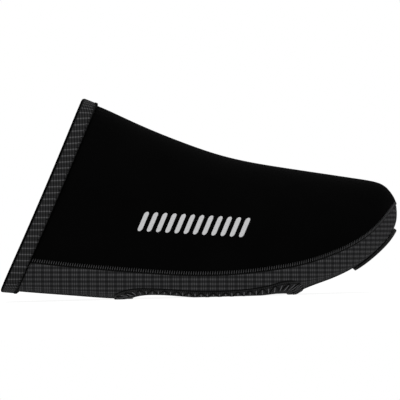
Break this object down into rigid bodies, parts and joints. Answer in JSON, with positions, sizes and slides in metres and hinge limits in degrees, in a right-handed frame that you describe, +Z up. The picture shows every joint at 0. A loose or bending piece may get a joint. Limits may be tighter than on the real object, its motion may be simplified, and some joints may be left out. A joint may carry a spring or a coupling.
{
  "type": "cycling toe cover",
  "caption": "Soft sleeve that pulls over the toe half of a cycling shoe, with a smooth padded upper, a woven underside open for the cleat, an elastic cuff and a rubber toe patch.",
  "frame": {"origin": "on the floor, under the centre of the cover's box", "axes": "+X towards the toe, +Y towards the inner side of the foot, +Z up"},
  "size_m": [0.1812, 0.1042, 0.0918],
  "materials": {
    "upper": "smooth padded black laminate",
    "sole": "dark grey coated weave with light cross rows",
    "cleat_binding": "black binding with grey looped stitches",
    "toe_patch": "matt ribbed rubber",
    "cuff": "ribbed knitted elastic"
  },
  "bodies": {
    "root": {"upper": "upper", "sole": "sole", "cleat_binding": "cleat_binding", "toe_patch": "toe_patch", "cuff": "cuff"}
  },
  "joints": []
}
